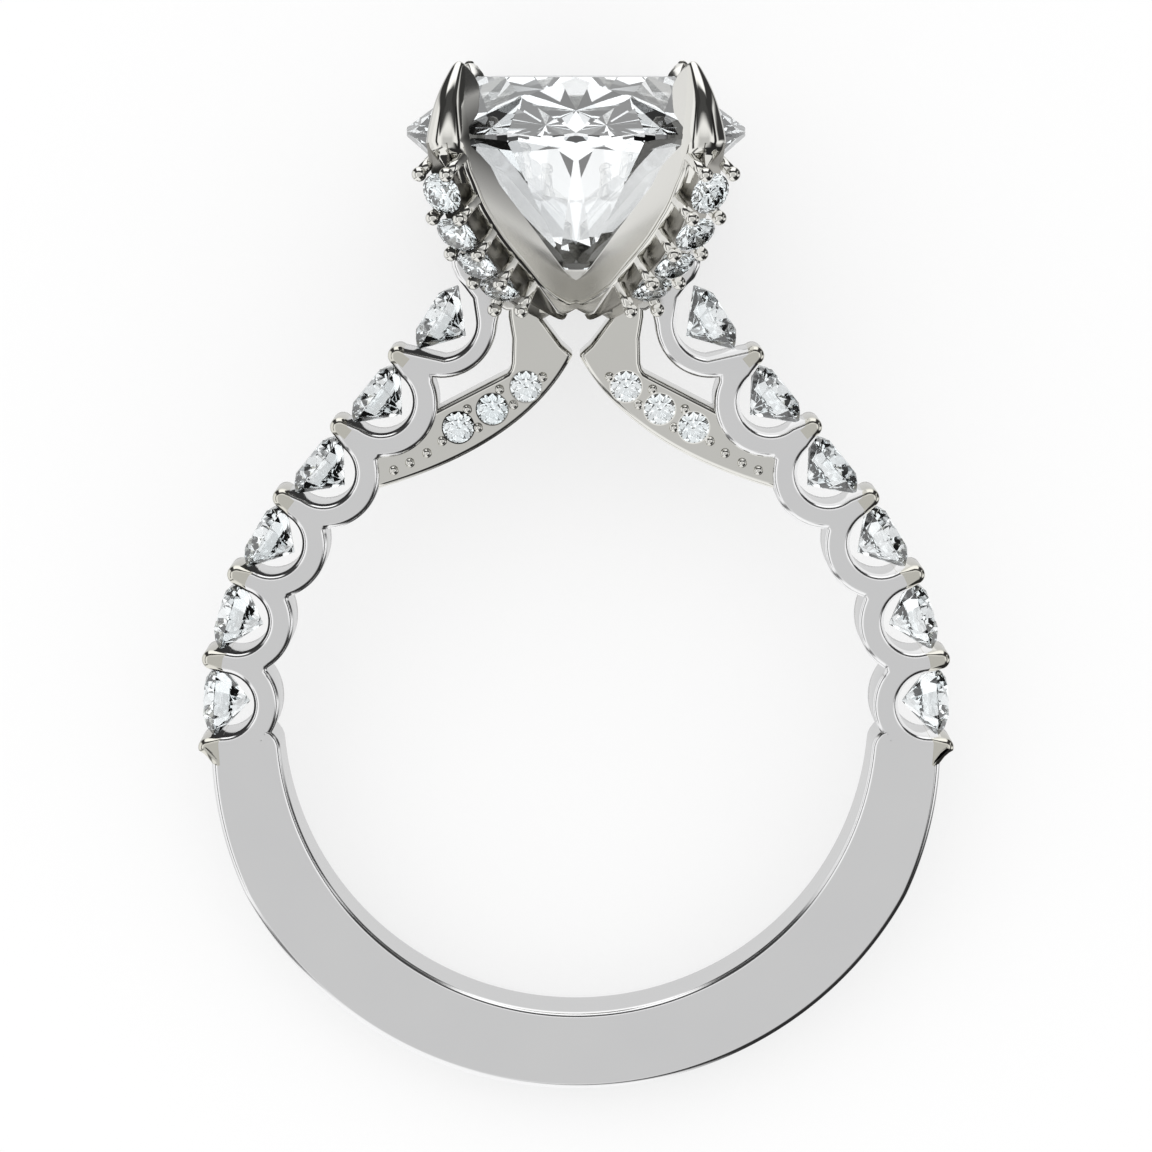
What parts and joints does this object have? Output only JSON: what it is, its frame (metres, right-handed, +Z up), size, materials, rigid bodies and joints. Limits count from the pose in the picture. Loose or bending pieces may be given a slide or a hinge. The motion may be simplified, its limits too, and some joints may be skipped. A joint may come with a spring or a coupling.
{
  "type": "cathedral setting ring",
  "caption": "Finger ring with a tall claw-set oval stone, stone-lined arms, scalloped stone shoulders and a jewelled bridge.",
  "frame": {"origin": "bottom centre of the bounding box, on the floor that the ring lies on", "axes": "+X across the shoulders, +Y from the shank's foot to the head, +Z up, out of the ring's front face; the ring lies on its back, its finger axis leaning 12 degrees from upright"},
  "size_m": [0.022, 0.0306, 0.0134],
  "materials": {
    "white_gold": "polished white gold",
    "clear_stone": "faceted clear stone"
  },
  "bodies": {
    "root": {"mounting": "white_gold", "centre_stone": "clear_stone", "shoulder_stone_left_1": "clear_stone", "shoulder_stone_left_2": "clear_stone", "shoulder_stone_left_3": "clear_stone", "shoulder_stone_left_4": "clear_stone", "shoulder_stone_left_5": "clear_stone", "shoulder_stone_left_6": "clear_stone", "shoulder_stone_right_1": "clear_stone", "shoulder_stone_right_2": "clear_stone", "shoulder_stone_right_3": "clear_stone", "shoulder_stone_right_4": "clear_stone", "shoulder_stone_right_5": "clear_stone", "shoulder_stone_right_6": "clear_stone", "bridge_stone_front_left_1": "clear_stone", "bridge_stone_front_left_2": "clear_stone", "bridge_stone_front_left_3": "clear_stone", "bridge_stone_front_right_1": "clear_stone", "bridge_stone_front_right_2": "clear_stone", "bridge_stone_front_right_3": "clear_stone", "bridge_stone_back_left_1": "clear_stone", "bridge_stone_back_left_2": "clear_stone", "bridge_stone_back_left_3": "clear_stone", "bridge_stone_back_right_1": "clear_stone", "bridge_stone_back_right_2": "clear_stone", "bridge_stone_back_right_3": "clear_stone", "rail_stone_front_left_1": "clear_stone", "rail_stone_front_left_2": "clear_stone", "rail_stone_front_left_3": "clear_stone", "rail_stone_front_left_4": "clear_stone", "rail_stone_front_right_1": "clear_stone", "rail_stone_front_right_2": "clear_stone", "rail_stone_front_right_3": "clear_stone", "rail_stone_front_right_4": "clear_stone", "rail_stone_back_left_1": "clear_stone", "rail_stone_back_left_2": "clear_stone", "rail_stone_back_left_3": "clear_stone", "rail_stone_back_left_4": "clear_stone", "rail_stone_back_right_1": "clear_stone", "rail_stone_back_right_2": "clear_stone", "rail_stone_back_right_3": "clear_stone", "rail_stone_back_right_4": "clear_stone"}
  },
  "joints": []
}
